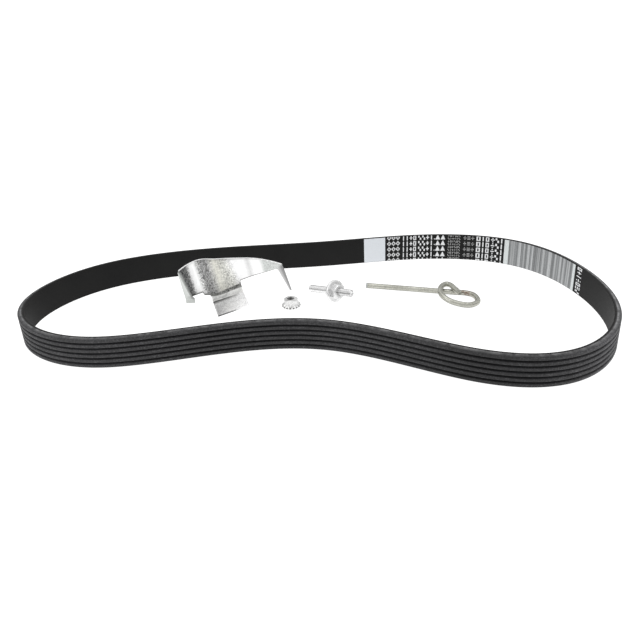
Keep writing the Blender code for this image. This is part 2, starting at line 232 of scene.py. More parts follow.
# Lock pin
WIRE_RADIUS = 2.0
BRUISE_PLACE = 77.0              # distances along the wire from its plain end
BRUISE_REACH = 6.0
UNDER_SHADE = 0.85
TOP_SHADE = 0.35
WIRE_OVER = 6.4                  # height of the wire's centre where it crosses itself
WIRE_SIDES = 32
PATH_STEPS = 10                  # points of the curve to each stretch between two given ones
PIN_POINTS = (
    (44.2, 47.8, 2.0), (62.0, 42.2, 2.0), (80.0, 36.5, 2.0), (97.0, 31.1, 2.0),
    (109.0, 27.4, 2.0), (116.0, 25.6, 2.0), (121.4, 21.6, 2.0), (123.2, 14.5, 2.0),
    (121.6, 8.0, 2.0), (115.6, 4.2, 2.1), (108.6, 5.6, 2.6), (101.6, 9.2, 4.0),
    (97.4, 15.2, 5.6), (97.2, 22.6, WIRE_OVER), (99.4, 29.2, WIRE_OVER),
    (103.4, 33.2, WIRE_OVER), (106.6, 30.6, WIRE_OVER), (108.4, 24.0, WIRE_OVER),
    (110.2, 16.6, WIRE_OVER),
)


# ---- meshes

def add_object(name, data):
    thing = bpy.data.objects.new(name, data)
    bpy.context.scene.collection.objects.link(thing)
    return thing


def add_piece(name, points, faces, material, body, sharp=30.0, values=None):
    """A mesh piece from points in millimetres that rides on a body. values are its float
    attributes by name, one number for each point."""
    mesh = bpy.data.meshes.new(name)
    mesh.from_pydata((np.asarray(points, dtype=float) * MM).tolist(), [], [tuple(face) for face in faces])
    for key, numbers in (values or {}).items():
        layer = mesh.attributes.new(key, "FLOAT", "POINT")
        layer.data.foreach_set("value", np.asarray(numbers, dtype=np.float32))
    work = bmesh.new()
    work.from_mesh(mesh)
    bmesh.ops.recalc_face_normals(work, faces=work.faces)
    work.to_mesh(mesh)
    work.free()
    mesh.shade_smooth()
    mesh.set_sharp_from_angle(angle=math.radians(sharp))
    mesh.materials.append(material)
    piece = add_object(name, mesh)
    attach(piece, body)
    return piece


def drop_to_floor(piece):
    """Lift or lower a piece until its lowest point is on the floor."""
    bpy.context.view_layer.update()
    shape = piece.evaluated_get(bpy.context.evaluated_depsgraph_get())
    mesh = shape.to_mesh()
    lowest = min(vertex.co.z for vertex in mesh.vertices)
    shape.to_mesh_clear()
    piece.data.transform(Matrix.Translation((0.0, 0.0, -lowest)))


def grid_faces(rows, columns, close_rows, close_columns):
    """Four-sided faces over a grid of points stored row by row."""
    index = np.arange(rows * columns).reshape(rows, columns)
    right = np.roll(index, -1, axis=1)
    below = np.roll(index, -1, axis=0)
    across = np.roll(right, -1, axis=0)
    faces = np.stack((index, right, across, below), axis=-1)
    if not close_rows:
        faces = faces[:-1]
    if not close_columns:
        faces = faces[:, :-1]
    return faces.reshape(-1, 4).tolist()


def rounded_outline(corners, reaches, steps):
    """A closed outline whose corners are rounded off over their own reach."""
    outline = []
    for i, (corner, reach) in enumerate(zip(corners, reaches)):
        here = np.array(corner, dtype=float)
        before = np.array(corners[i - 1], dtype=float) - here
        after = np.array(corners[(i + 1) % len(corners)], dtype=float) - here
        start = here + before / np.linalg.norm(before) * reach
        end = here + after / np.linalg.norm(after) * reach
        for u in np.linspace(0.0, 1.0, steps):
            outline.append((1 - u) ** 2 * start + 2 * u * (1 - u) * here + u ** 2 * end)
    return np.array(outline)


# ---- materials

MIX_COLOUR_INPUTS = (6, 7)       # the Mix node's inputs A and B when it mixes colours


class Nodes:
    """Short ways to add nodes to one tree."""

    def __init__(self, tree):
        self.tree = tree

    def put(self, value, socket):
        """Give a socket a value, or join another node's output to it."""
        if isinstance(value, bpy.types.NodeSocket):
            self.tree.links.new(value, socket)
        else:
            socket.default_value = value

    def add(self, kind, settings=None, **inputs):
        """A node with its settings and inputs; i0 is its first input, and so on."""
        node = self.tree.nodes.new(kind)
        for key, value in (settings or {}).items():
            setattr(node, key, value)
        for key, value in inputs.items():
            numbered = key[0] == "i" and key[1:].isdigit()
            self.put(value, node.inputs[int(key[1:])] if numbered else node.inputs[key])
        return node

    def noise(self, scale, detail=4.0, stretch=(1.0, 1.0, 1.0), vector=None):
        """Noise over the piece's own place, with scale in features to the metre."""
        source = vector if vector is not None else self.add("ShaderNodeTexCoord").outputs["Object"]
        mapping = self.add("ShaderNodeMapping", Vector=source, Scale=stretch)
        noise = self.add("ShaderNodeTexNoise", Vector=mapping.outputs[0], Scale=scale, Detail=detail)
        return noise.outputs["Fac"]

    def ramp(self, factor, stops):
        """Colours along a factor; stops are (position, (r, g, b) or grey level)."""
        ramp = self.add("ShaderNodeValToRGB", Fac=factor)
        band = ramp.color_ramp
        while len(band.elements) < len(stops):
            band.elements.new(0.5)
        for element, (position, colour) in zip(band.elements, stops):
            element.position = position
            element.color = (colour,) * 3 + (1.0,) if isinstance(colour, float) else (*colour, 1.0)
        return ramp.outputs["Color"]

    def read(self, name):
        return self.add("ShaderNodeAttribute", {"attribute_name": name}).outputs["Fac"]

    def mix(self, factor, first, second, blend="MIX"):
        node = self.add("ShaderNodeMix", {"data_type": "RGBA", "blend_type": blend})
        self.put(factor, node.inputs["Factor"])
        for index, value in zip(MIX_COLOUR_INPUTS, (first, second)):
            self.put((*value, 1.0) if isinstance(value, tuple) else value, node.inputs[index])
        return node.outputs[2]

    def times(self, first, second):
        return self.mix(1.0, first, second, "MULTIPLY")

    def calculate(self, operation, first, second):
        return self.add("ShaderNodeMath", {"operation": operation}, i0=first, i1=second).outputs[0]

    def span(self, value, low, high, to_low, to_high):
        """The value moved from one range to another, and held at its ends."""
        inputs = {"i0": value, "i1": low, "i2": high, "i3": to_low, "i4": to_high}
        return self.add("ShaderNodeMapRange", {"clamp": True}, **inputs).outputs[0]

    def bands(self, position, knots):
        """Values or colours by wall angle, over a factor that runs from BAND_ENDS[0] to [1]."""
        low, high = BAND_ENDS
        return self.ramp(position, [
            ((angle - low) / (high - low), value if isinstance(value, tuple) else float(value))
            for angle, value in knots
        ])

    def tones(self, factor, knots):
        return self.ramp(factor, [(where, tone(level)) for where, level in knots])


class Look(Nodes):
    """A material in the making."""

    def __init__(self, name, roughness, metallic, specular=0.5):
        self.material = bpy.data.materials.new(name)
        self.material.use_nodes = True
        super().__init__(self.material.node_tree)
        self.shader = self.tree.nodes["Principled BSDF"]
        self.feed("Roughness", roughness)
        self.feed("Metallic", metallic)
        self.feed("Specular IOR Level", specular)

    def feed(self, name, value):
        self.put(value, self.shader.inputs[name])

    def bump(self, height, distance, strength):
        node = self.add("ShaderNodeBump", Height=height, Distance=distance, Strength=strength)
        self.feed("Normal", node.outputs[0])


def tone(level):
    """Base colour of bright metal that should look like this tone between 0 and 255."""
    return min(((level / 255 + 0.055) / 1.055) ** 2.4 / 1.05, 0.97)


def rubber_material():
    """Ground rubber ribs: darker in the grooves and lighter on the crowns, fibre-flecked, with light and
    shade painted along the belt, and a pale top cut edge that is partly rubbed and partly a painted
    highlight.
    """
    look = Look("rib_rubber", 0.62, 0.0, specular=0.30)
    flecks = look.noise(1100.0, 6.0)
    streaks = look.noise(1.0, 3.0, (60.0, 60.0, 2600.0))
    base = look.ramp(look.read("relief"), (
        (0.0, (0.010, 0.010, 0.011)), (0.55, (0.020, 0.020, 0.022)), (1.0, (0.036, 0.036, 0.038)),
    ))
    # Painted light and shade along the belt: a sheen towards one end, shade where the front run faces forward
    lit_along_belt = look.times(base, look.read("painted_light"))
    speckled = look.times(lit_along_belt, look.ramp(flecks, ((0.30, 0.55), (0.55, 1.0), (0.72, 2.2))))
    streaked = look.times(speckled, look.ramp(streaks, ((0.35, 0.75), (0.65, 1.25))))
    broken = look.noise(260.0, 5.0)
    # The pale top cut edge: partly rubbed rubber, partly a painted highlight
    scuffs_and_highlight = look.calculate("MULTIPLY", look.read("edge_wear_and_highlight"), look.span(broken, 0.38, 0.62, 0.25, 1.0))
    look.feed("Base Color", look.mix(scuffs_and_highlight, streaked, (0.30, 0.30, 0.305)))
    look.feed("Roughness", look.span(flecks, 0.3, 0.7, 0.72, 0.50))
    look.bump(flecks, 0.00012, 0.7)
    return look.material


def backing_material():
    """Smooth black rubber-faced back with a faint moulded grain."""
    look = Look("belt_back_rubber", 0.58, 0.0, specular=0.12)
    grain = look.noise(1500.0, 5.0)
    clouds = look.noise(45.0, 4.0)
    base = look.ramp(clouds, ((0.3, 0.0090), (0.7, (0.0118, 0.0118, 0.0115))))
    look.feed("Base Color", look.times(base, look.ramp(grain, ((0.3, 0.85), (0.7, 1.15)))))
    look.feed("Roughness", look.span(grain, 0.3, 0.7, 0.52, 0.66))
    look.bump(grain, 0.00005, 0.35)
    return look.material


def cord_material():
    """Cut yarn at the belt's edge: broken fibres, hardly paler than the rubber."""
    look = Look("cut_cord", 0.80, 0.0)
    fibres = look.noise(420.0, 6.0)
    colour = look.ramp(fibres, (
        (0.35, 0.008), (0.55, (0.016, 0.016, 0.015)), (0.75, (0.030, 0.029, 0.026)),
    ))
    look.feed("Base Color", colour)
    look.bump(fibres, 0.0002, 0.8)
    return look.material


def ink_material(name, colour, cover, streaked=False):
    """Printing ink on rubber; cover is how much of the rubber it hides where it is thin.
    Streaked ink has fine upright lines in it."""
    look = Look(name, 0.55, 0.0, specular=0.3)
    grain = look.noise(1300.0, 4.0)
    thin = tuple(channel * cover for channel in colour)
    mixed = look.mix(look.span(grain, 0.36, 0.56, 0.0, 1.0), thin, colour)
    if streaked:
        lines = look.noise(1.0, 2.0, (1100.0, 1100.0, 12.0))
        mixed = look.times(mixed, look.ramp(lines, ((0.36, 0.70), (0.62, 1.28))))
    look.feed("Base Color", mixed)
    look.bump(grain, 0.00003, 0.3)
    return look.material


# ---- belt

def loop_path():
    """The length of the belt's back, and distances, points and outward normals along it."""
    control = np.array(LOOP_POINTS, dtype=float)
    position = np.linspace(0.0, len(control), 12000, endpoint=False)
    start = np.floor(position).astype(int)
    u = (position - start)[:, None]
    before, here, after, beyond = (control[(start + shift) % len(control)] for shift in (-1, 0, 1, 2))
    place = (
        (1 - u) ** 3 * before + (3 * u ** 3 - 6 * u ** 2 + 4) * here
        + (-3 * u ** 3 + 3 * u ** 2 + 3 * u + 1) * after + u ** 3 * beyond
    ) / 6
    slope = (
        -(1 - u) ** 2 * before + (3 * u ** 2 - 4 * u) * here
        + (-3 * u ** 2 + 2 * u + 1) * after + u ** 2 * beyond
    ) / 2
    steps = np.linalg.norm(np.roll(place, -1, axis=0) - place, axis=1)
    back_length = BELT_LENGTH - 2 * math.pi * CORD_LINE
    scale = back_length / steps.sum()
    distance = np.concatenate(([0.0], np.cumsum(steps)[:-1])) * scale
    along = slope / np.linalg.norm(slope, axis=1, keepdims=True)
    outward = np.stack((along[:, 1], -along[:, 0]), axis=1)
    return back_length, distance, place * scale, outward


BACK_LENGTH, PATH_DISTANCE, PATH_PLACE, PATH_OUTWARD = loop_path()


def belt_spots(distances):
    """Points and outward normals of the belt's back at those distances along it."""
    place = [np.interp(distances, PATH_DISTANCE, PATH_PLACE[:, i], period=BACK_LENGTH) for i in (0, 1)]
    outward = [np.interp(distances, PATH_DISTANCE, PATH_OUTWARD[:, i], period=BACK_LENGTH) for i in (0, 1)]
    return np.stack(place, axis=1), np.stack(outward, axis=1)


def sweep_belt(name, outline, material, replaced, values, along=None):
    """Sweep an outline round the loop. values hold one number for each outline point;
    along holds (distance, factor) knots for values that change round the loop."""
    distances = np.arange(BELT_STATIONS) * BACK_LENGTH / BELT_STATIONS
    place, outward = belt_spots(distances)
    flat = place[:, None, :] + outward[:, None, :] * outline[None, :, :1]
    height = np.broadcast_to(outline[None, :, 1:], (*flat.shape[:2], 1))
    points = np.concatenate((flat, height), axis=2).reshape(-1, 3)
    faces = grid_faces(BELT_STATIONS, len(outline), close_rows=True, close_columns=True)
    spread = {key: np.tile(numbers, BELT_STATIONS) for key, numbers in values.items()}
    for key, knots in (along or {}).items():
        where, factors = zip(*knots)
        change = np.interp(distances, where, factors, period=BACK_LENGTH)
        spread[key] = spread.get(key, 1.0) * np.repeat(change, len(outline))
    piece = add_piece(name, points, faces, material, "belt", sharp=50.0, values=spread)
    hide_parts(replaced)


def make_ribs():
    inner = BACKING_THICKNESS + CORD_THICKNESS
    flank = RIB_HEIGHT * math.tan(RIB_HALF_ANGLE)
    corners = [(inner, 0.0)]
    reaches = [0.10]
    for rib in range(RIB_COUNT):
        low = rib * RIB_PITCH
        corners += [(RIB_ROOT, low), (BELT_THICKNESS, low + flank), (BELT_THICKNESS, low + RIB_PITCH - flank)]
        reaches += [0.22, 0.42, 0.42]
    corners += [(RIB_ROOT, BELT_WIDTH), (inner, BELT_WIDTH)]
    reaches += [0.22, 0.10]
    outline = rounded_outline(corners, reaches, 5)
    relief = np.clip((outline[:, 0] - RIB_ROOT) / RIB_HEIGHT, 0.0, 1.0)
    # The top cut face is pale, and so is the corner where it meets the first rib's flank: partly rubbed
    # rubber, partly a painted highlight
    near_edge = np.exp(-(((outline[:, 0] - RIB_ROOT + 0.1) / 0.50) ** 2))
    edge_wear_and_highlight = np.where(outline[:, 1] > BELT_WIDTH - 0.45, near_edge, 0.0)
    sweep_belt("ribbed_belt_body", outline, rubber_material(), "belt_ribbed_rubber",
               {"relief": relief, "edge_wear_and_highlight": edge_wear_and_highlight}, {"painted_light": RIB_PAINTED_LIGHT, "edge_wear_and_highlight": EDGE_PAINTED_HIGHLIGHT})


def make_backing():
    corners = ((0.0, 0.0), (BACKING_THICKNESS, 0.0), (BACKING_THICKNESS, BELT_WIDTH), (0.0, BELT_WIDTH))
    outline = rounded_outline(corners, (0.22, 0.08, 0.08, 0.22), 5)
    sweep_belt("belt_back", outline, backing_material(), "belt_backing", {})


def make_cord_band():
    low = CORD_RECESS
    high = BELT_WIDTH - CORD_RECESS
    near = BACKING_THICKNESS
    far = BACKING_THICKNESS + CORD_THICKNESS
    outline = np.array([(near, low), (far, low), (far, high), (near, high)])
    sweep_belt("belt_cord_edge", outline, cord_material(), "belt_tensile_cords", {})


# ---- printing

class Print:
    """Flat marks that follow the belt's back, gathered into one piece."""

    def __init__(self, lift=PRINT_LIFT):
        self.lift = lift
        self.points = []
        self.faces = []

    def patch(self, start, end, low, high):
        """A rectangle from one distance to another, between two heights."""
        low = max(low, PRINT_MARGIN)
        high = min(high, BELT_WIDTH - PRINT_MARGIN)
        if high - low < THINNEST_MARK:
            return
        count = max(int(abs(end - start) / PRINT_STEP), 1) + 1
        place, outward = belt_spots(np.linspace(start, end, count))
        flat = place - outward * self.lift
        first = len(self.points)
        for height in (low, high):
            self.points += [*np.column_stack((flat, np.full(count, height)))]
        for i in range(count - 1):
            self.faces.append((first + i, first + i + 1, first + count + i + 1, first + count + i))

    def finish(self, name, material):
        add_piece(name, self.points, self.faces, material, "belt")


def row_heights():
    return [ROW_TOP - ROW_PITCH * row for row in range(ROW_COUNT)]


def diamond_row(marks, start, end, middle):
    """Small diamonds in a row, built from short steps."""
    size = (start - end) / DIAMOND_COUNT
    for i in range(DIAMOND_COUNT):
        centre = start - size * (i + 0.5)
        for step in np.linspace(-0.9, 0.9, 7):
            half = (1.0 - abs(step)) * MARK_HEIGHT * 0.46 + 0.12
            spot = centre + step * size * 0.42
            left, right = spot + DIAMOND_STEP / 2, spot - DIAMOND_STEP / 2
            marks.patch(left, right, middle - half, middle - half + DIAMOND_STROKE)
            marks.patch(left, right, middle + half - DIAMOND_STROKE, middle + half)


def glyph(marks, kind, start, low, width, height, turned=False):
    """One plain sign in a cell that runs on from start and up from low."""
    for left, right, bottom, top in GLYPHS[kind]:
        if turned:
            left, right, bottom, top = bottom, top, left, right
        marks.patch(start - left * width, start - right * width, low + bottom * height, low + top * height)


def glyph_row(marks, chance, start, end, low, width, height, gap):
    """As many signs as fit between two distances."""
    count = max(int((start - end + gap) / (width + gap)), 1)
    pitch = (start - end + gap) / count
    for i in range(count):
        glyph(marks, chance.integers(0, len(GLYPHS)), start - pitch * i, low, pitch - gap, height)


def wedge(marks, start, end, low, height):
    """A stepped triangle that stands on its long side."""
    for step in range(WEDGE_STEPS):
        inset = (start - end) / 2 * step / WEDGE_STEPS
        floor, ceiling = (low + height * rise / WEDGE_STEPS for rise in (step, step + 1))
        marks.patch(start - inset, end + inset, floor, ceiling)


def make_label_print():
    white = ink_material("ink_white", (0.68, 0.71, 0.745), 0.96)
    block = Print()
    block.patch(*LABEL_BLOCK, 0.0, BELT_WIDTH)
    block.finish("print_label_block", white)


def make_mark_print():
    bright = ink_material("ink_bright", (0.78, 0.79, 0.80), 0.85)
    faint = ink_material("ink_faint", (0.42, 0.42, 0.42), 0.70)
    marks = Print()
    thin = Print()
    for middle in row_heights():
        # Every row repeats the same signs
        chance = np.random.default_rng(SIGN_SEED)
        diamond_row(marks, *DIAMOND_MARKS, middle)
        low = middle - GLYPH_DROP - MARK_HEIGHT / 2
        for start, end in GLYPH_GROUPS:
            glyph_row(marks, chance, start, end, low, GLYPH_WIDTH, MARK_HEIGHT, GLYPH_GAP)
        start, end = WEDGE_MARKS
        centre = (start + end) / 2
        wedge(marks, start, centre + DOT_HALF, low, MARK_HEIGHT)
        wedge(marks, centre - DOT_HALF, end, low, MARK_HEIGHT)
        marks.patch(DOT_MARK + DOT_HALF, DOT_MARK - DOT_HALF, low + 0.2, low + 1.0)
        for line in range(2):
            glyph_row(thin, chance, *FINE_GROUP, low + FINE_PITCH * line, *FINE_SIGN)
        glyph_row(thin, chance, *MIDDLE_GROUP, low + 0.4, *MIDDLE_SIGN)
    marks.finish("print_marks", bright)
    thin.finish("print_faint_marks", faint)


def make_bar_print():
    """A field of light and mid-grey bars in no particular code, with a pale band at each end."""
    chance = np.random.default_rng(BAR_SEED)
    start, end = BAR_FIELD
    field = Print()
    field.patch(start, end, 0.0, BELT_WIDTH)
    field.finish("print_bar_field", ink_material("ink_grey", (0.225, 0.232, 0.236), 0.82, True))
    light = Print(PRINT_LIFT * 2)
    light.patch(start, start - LEFT_BAND, 0.0, BELT_WIDTH)
    light.patch(end + RIGHT_BAND, end, 0.0, BELT_WIDTH)
    pale = Print(PRINT_LIFT * 2)
    spot = start - LEFT_BAND - BAR_GAPS[0]
    while spot > end + RIGHT_BAND + 2 * BAR_GAPS[0]:
        width = chance.uniform(*BAR_WIDTHS)
        pale.patch(spot, spot - width, 0.0, BELT_WIDTH)
        spot -= width + chance.uniform(*BAR_GAPS)
    light.finish("print_bar_ends", ink_material("ink_pale_end", (0.64, 0.67, 0.67), 0.92))
    pale.finish("print_bars", ink_material("ink_pale", (0.39, 0.40, 0.405), 0.88, True))
    column = Print()
    start, end = COLUMN_MARKS
    for i in range(COLUMN_COUNT):
        kind = chance.integers(0, len(GLYPHS))
        low = COLUMN_TOP - COLUMN_PITCH * i
        glyph(column, kind, start, low, start - end, COLUMN_PITCH * 0.72, turned=True)
    column.finish("print_column_marks", bpy.data.materials["ink_bright"])


# ---- fitting tool

def smooth_value(knots, where):
    """A smooth curve through a few (position, value) knots."""
    positions = [knot[0] for knot in knots]
    values = [knot[1] for knot in knots]
    slopes = np.gradient(values, positions)
    right = min(max(int(np.searchsorted(positions, where)), 1), len(knots) - 1)
    left = right - 1
    width = positions[right] - positions[left]
    u = (where - positions[left]) / width
    return (
        (2 * u ** 3 - 3 * u ** 2 + 1) * values[left]
        + (u ** 3 - 2 * u ** 2 + u) * width * slopes[left]
        + (-2 * u ** 3 + 3 * u ** 2) * values[right]
        + (u ** 3 - u ** 2) * width * slopes[right]
    )


def wall_point(angle, height):
    turn = math.radians(angle)
    return Vector((
        WALL_APEX[0] + WALL_RADIUS * math.sin(turn),
        WALL_APEX[1] - WALL_RADIUS * (1 - math.cos(turn)),
        height,
    ))


def wall_angle(across):
    return math.degrees(math.asin((across - WALL_APEX[0]) / WALL_RADIUS))


def rounded_fold(before, corner, after):
    start = corner + (before - corner).normalized() * FOLD_REACH
    end = corner + (after - corner).normalized() * FOLD_REACH
    curve = []
    for step in range(FOLD_STEPS + 1):
        u = step / FOLD_STEPS
        curve.append((1 - u) ** 2 * start + 2 * u * (1 - u) * corner + u ** 2 * end)
    return curve


def even_steps(start, end):
    """Angles from start up to but not including end."""
    return list(np.linspace(start, end, round(abs(end - start) / WALL_STEP), endpoint=False))


def wall_rows(tongue):
    """The wall's top and lower rows as (angle, point) lists, and where the tongue starts."""
    left_low = even_steps(WALL_LEFT_EDGE[0][0], NECK_LEFT)
    left_top = list(np.linspace(WALL_TOP_EDGE[0][0], NECK_LEFT, len(left_low), endpoint=False))
    neck = [NECK_LEFT + NECK_STEP, *even_steps(NECK_LEFT + NECK_STEP, tongue[0])[1:], *tongue]
    right_start = tongue[-1] + NECK_STEP
    right_low = even_steps(WALL_RIGHT_EDGE[-1][0], right_start)[::-1]
    right_top = list(np.linspace(WALL_TOP_EDGE[-1][0], right_start, len(right_low), endpoint=False))[::-1]
    low = [(angle, smooth_value(WALL_LEFT_EDGE, angle)) for angle in left_low]
    low.append((NECK_LEFT, WALL_LEFT_EDGE[-1][1]))
    low += [(angle, smooth_value(WALL_NECK_EDGE, angle)) for angle in neck]
    low.append((right_start, WALL_RIGHT_EDGE[0][1]))
    low += [(angle, smooth_value(WALL_RIGHT_EDGE, angle)) for angle in right_low]
    top = [(angle, smooth_value(WALL_TOP_EDGE, angle)) for angle in
           [*left_top, NECK_LEFT, *neck, right_start, *right_top]]
    return top, low, len(left_low) + 1 + len(neck) - len(tongue)


def leg_points(end, start):
    """Points from a leg's end up to, but not including, the start of its fold."""
    return [end.lerp(start, i / LEG_STEPS) for i in range(LEG_STEPS)]


def folded_row(left_end, wall, right_end):
    """One row of the sheet from the left leg's end, over the wall, to the right leg's end.
    Returns points and the turn that each one is drawn with."""
    foot, ankle = left_end
    points = [wall_point(angle, height) for angle, height in wall]
    left_fold = rounded_fold(ankle, points[0], points[2])
    right_fold = rounded_fold(points[-3], points[-1], right_end)
    left_leg = [foot, *leg_points(ankle, left_fold[0])]
    right_leg = leg_points(right_end, right_fold[-1])[::-1]
    row = [*left_leg, *left_fold, *points[2:-2], *right_fold, *right_leg]
    first, last = wall[0][0], wall[-1][0]
    turns = (
        [-LEG_TURN] * len(left_leg)
        + list(np.linspace(-FOLD_TURN, first, FOLD_STEPS + 1))
        + [angle for angle, _ in wall[2:-2]]
        + list(np.linspace(last, FOLD_TURN, FOLD_STEPS + 1))
        + [LEG_TURN] * len(right_leg)
    )
    return row, turns


def tongue_column(crease):
    """Points of the tongue under one point of the wall's crease, and how far down each is."""
    riser = Vector((crease.x, TONGUE_DEPTH, crease.z - RISER_JOG))
    heel = Vector((crease.x, TONGUE_DEPTH, 0.0))
    front = Vector((crease.x, 0.0, 0.0))
    fold = rounded_fold(riser, heel, front)
    column = [riser, riser.lerp(fold[0], 0.5), *fold]
    levels = [CREASE_LEVEL, MID_RISER_LEVEL, *np.linspace(HEEL_LEVEL, TONGUE_LEVEL, FOLD_STEPS + 1)]
    for i in range(1, TONGUE_ROWS + 1):
        column.append(fold[-1].lerp(front, i / TONGUE_ROWS))
        levels.append(TONGUE_LEVEL + (FRONT_LEVEL - TONGUE_LEVEL) * i / TONGUE_ROWS)
    return column, levels


def zinc_material():
    """Bright zinc on rolled sheet: upright bands of painted reflection, a fine mottle, painted shade in both
    creases, and painted light and shade on the tongue and the right leg.
    """
    look = Look("zinc_sheet_mottled", 0.30, 1.0)
    turn = look.read("turn")
    level = look.read("level")
    across = look.read("across")
    position = look.span(turn, *BAND_ENDS, 0.0, 1.0)
    # Painted reflections: upright light and dark bands by wall angle
    wall = look.bands(position, [(angle, tone(band)) for angle, band in WALL_REFLECTION_TONES])
    tinted = look.times(wall, look.bands(position, REFLECTION_TINT))
    grain = look.noise(1000.0, 3.0)
    coarse = look.noise(330.0, 3.0)
    mottle = look.ramp(grain, ((0.35, 0.22), (0.46, 0.82), (0.55, 1.14), (0.66, 1.60)))
    patchy = look.ramp(coarse, ((0.35, 0.86), (0.65, 1.14)))
    texture = look.times(mottle, patchy)
    textured = look.times(tinted, texture)
    banded = look.mix(look.bands(position, BAND_GRAIN), tinted, textured)
    # Sparse dark specks and a thin shadow line along the wall's lower edge
    specks = look.calculate(
        "MULTIPLY", look.span(look.noise(760.0, 2.0), 0.60, 0.66, 0.0, 1.0), look.bands(position, BAND_GRAIN))
    specked = look.mix(specks, banded, (0.16, 0.16, 0.15))
    lined = look.mix(look.span(across, 0.94, 0.98, 0.0, 0.80), specked, (0.07, 0.07, 0.065))
    left_leg = (tone(LEFT_LEG_TONE), tone(LEFT_LEG_TONE + 3), tone(LEFT_LEG_TONE))
    with_left = look.mix(look.span(turn, -FOLD_TURN, BAND_ENDS[0], 1.0, 0.0), lined, left_leg)
    # Painted shade along the right leg's right side
    right_leg = look.tones(across, RIGHT_LEG_TONES)
    face = look.mix(look.span(turn, 35.0, 50.0, 0.0, 1.0), with_left, right_leg)

    # Painted shade in the crease between the wall and the riser
    crease = look.times((0.22, 0.22, 0.21), texture)
    riser = look.times((0.93, 0.93, 0.91), patchy)
    # The tongue's painted grey shade ends in an uneven line
    uneven = look.calculate("ADD", across, look.span(look.noise(260.0, 4.0), 0.3, 0.7, -0.10, 0.10))
    tongue = look.tones(uneven, TONGUE_TONES)
    tongue_mottled = look.mix(0.30, tongue, look.times(tongue, texture))
    to_riser = look.mix(look.span(level, 0.97, 1.12, 0.0, 1.0), crease, riser)
    lower = look.mix(look.span(level, 2.2, TONGUE_LEVEL, 0.0, 1.0), to_riser, tongue_mottled)
    whole = look.mix(look.span(level, 0.50, 0.80, 0.0, 1.0), face, lower)
    # The heel's painted shadow line, in its inner corner, fades out towards the right
    heel = look.ramp(look.span(level, 0.0, FRONT_LEVEL, 0.0, 1.0),
                     ((0.0, 0.0), (0.725, 0.0), (0.765, 1.0), (0.80, 1.0), (0.835, 0.0)))
    strength = look.ramp(across, ((0.0, 0.97), (0.5, 0.85), (0.72, 0.45), (0.90, 0.0)))
    line = look.calculate("MULTIPLY", heel, strength)
    look.feed("Base Color", look.mix(line, whole, (0.035, 0.035, 0.033)))
    # Duller zinc below the crease, where the press has scuffed it
    dull = look.span(across, 0.3, 0.75, 0.40, 0.0)
    whole_metal = look.span(level, 0.6, 1.05, 1.0, 0.0)
    look.feed("Metallic", look.calculate("MAXIMUM", dull, whole_metal))
    look.feed("Roughness", look.span(grain, 0.35, 0.65, 0.40, 0.28))
    look.bump(grain, 0.00003, 0.2)
    return look.material


def sheared_edge_material():
    """Cut edge of the sheet: painted light where it faces up, painted shade where it faces down or sideways.
    """
    look = Look("sheared_edge", 0.38, 1.0)
    normal = look.add("ShaderNodeNewGeometry").outputs["Normal"]
    upward = look.add("ShaderNodeSeparateXYZ", Vector=normal).outputs["Z"]
    grain = look.noise(900.0, 4.0)
    # Painted light and shade by which way the edge faces
    base = look.ramp(look.span(upward, -0.2, 0.9, 0.0, 1.0), ((0.0, 0.06), (0.45, 0.14), (1.0, 0.92)))
    # The tongue's front edge has tones of its own: a dark cut edge at the left, turned white towards the
    # right by painted light
    front = look.tones(look.read("across"), FRONT_EDGE_TONES)
    level = look.read("level")
    chosen = look.mix(look.span(level, 2.9, 2.96, 0.0, 1.0), base, front)
    grained = look.times(chosen, look.ramp(grain, ((0.35, 0.6), (0.65, 1.3))))
    look.feed("Base Color", look.mix(0.5, chosen, grained))
    look.bump(grain, 0.00004, 0.3)
    return look.material


